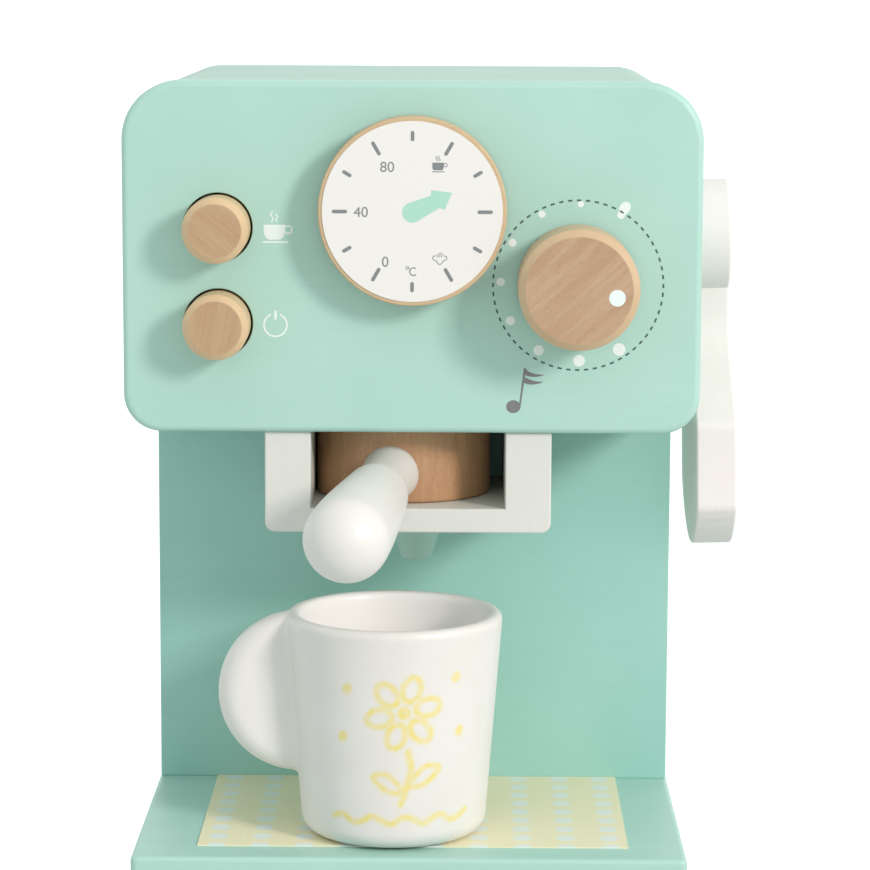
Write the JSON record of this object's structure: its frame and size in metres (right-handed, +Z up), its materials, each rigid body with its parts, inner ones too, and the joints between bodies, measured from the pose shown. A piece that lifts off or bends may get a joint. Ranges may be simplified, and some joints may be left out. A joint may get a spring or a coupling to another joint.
{
  "type": "toy coffee maker",
  "caption": "Wooden toy coffee maker with push buttons, a turning dial and clicking knob, a side lever, a twisting filter handle and a play mug.",
  "frame": {"origin": "middle of the base plate's underside", "axes": "+Z up, +X to the right seen from the front, the front panel faces -Y"},
  "size_m": [0.1814, 0.2131, 0.234],
  "materials": {
    "painted_board": "satin mint paint on fibre board",
    "printed_mat": "matt printed sheet",
    "raw_board": "bare fibre board",
    "white_paint": "satin white paint on wood",
    "dial_print": "white print",
    "turned_beech": "sanded and clear sealed",
    "stained_wood": "brown stained and sealed",
    "plain_wood": "sanded",
    "zinc_screws": "zinc plated",
    "spring_steel": "bright drawn",
    "bright_steel": "nickel plated"
  },
  "bodies": {
    "case": {"base_plate": "painted_board", "drip_mat": "printed_mat", "column_front": "painted_board", "left_side": "painted_board", "right_side": "painted_board", "back_board": "painted_board", "top_board": "painted_board", "head_floor": "painted_board", "front_panel": "painted_board", "filter_holder": "white_paint", "spout": "painted_board", "button_bridge": "raw_board", "bridge_blocks": "raw_board", "bridge_screws": "zinc_screws", "base_screws": "zinc_screws", "back_screws": "zinc_screws", "holder_screws": "zinc_screws", "panel_dowels": "plain_wood", "brew_spring": "spring_steel", "power_spring": "spring_steel", "click_reed": "spring_steel", "reed_block": "raw_board", "reed_screws": "bright_steel", "lever_bolt": "bright_steel", "lever_spacer": "plain_wood", "lever_washer": "bright_steel", "lever_nut": "bright_steel"},
    "brew_plunger": {"brew_button": "turned_beech", "brew_retainer": "plain_wood", "brew_stem": "plain_wood"},
    "power_plunger": {"power_button": "turned_beech", "power_retainer": "plain_wood", "power_stem": "plain_wood"},
    "dial": {"dial_disc": "turned_beech", "dial_face": "dial_print", "dial_axle": "plain_wood", "dial_retainer": "plain_wood"},
    "knob": {"sound_knob": "turned_beech", "knob_shaft": "plain_wood", "click_wheel": "plain_wood", "knob_washer": "bright_steel", "knob_screw": "bright_steel"},
    "filter": {"filter_disc": "stained_wood", "filter_handle": "white_paint", "filter_dowel": "plain_wood"},
    "lever": {"side_lever": "white_paint"},
    "mug": {"mug_cup": "white_paint", "mug_handle": "white_paint"}
  },
  "joints": [
    {"name": "brew_button_press", "type": "slide", "parent": "case", "child": "brew_plunger", "axis": [0, 1, 0], "range_m": [0, 0.006], "stiffness_N_per_m": 150, "springref_m": -0.004, "deforming": ["brew_spring"]},
    {"name": "power_button_press", "type": "slide", "parent": "case", "child": "power_plunger", "axis": [0, 1, 0], "range_m": [0, 0.006], "stiffness_N_per_m": 150, "springref_m": -0.004, "deforming": ["power_spring"]},
    {"name": "dial_turn", "type": "hinge", "parent": "case", "child": "dial", "pos_m": [0.0002, -0.056, 0.1974], "axis": [0, -1, 0], "continuous": true},
    {"name": "knob_turn", "type": "hinge", "parent": "case", "child": "knob", "pos_m": [0.0478, -0.056, 0.1761], "axis": [0, -1, 0], "continuous": true},
    {"name": "filter_twist", "type": "hinge", "parent": "case", "child": "filter", "pos_m": [-0.0029, -0.0188, 0.1196], "axis": [0, 0, 1], "range_deg": [-16, 30]},
    {"name": "lever_swing", "type": "hinge", "parent": "case", "child": "lever", "pos_m": [0.0894, -0.0045, 0.186], "axis": [-1, 0, 0], "continuous": true},
    {"name": "mug_slide", "type": "slide", "parent": "case", "child": "mug", "axis": [0, -1, 0], "range_m": [-0.025, 0.11]}
  ]
}
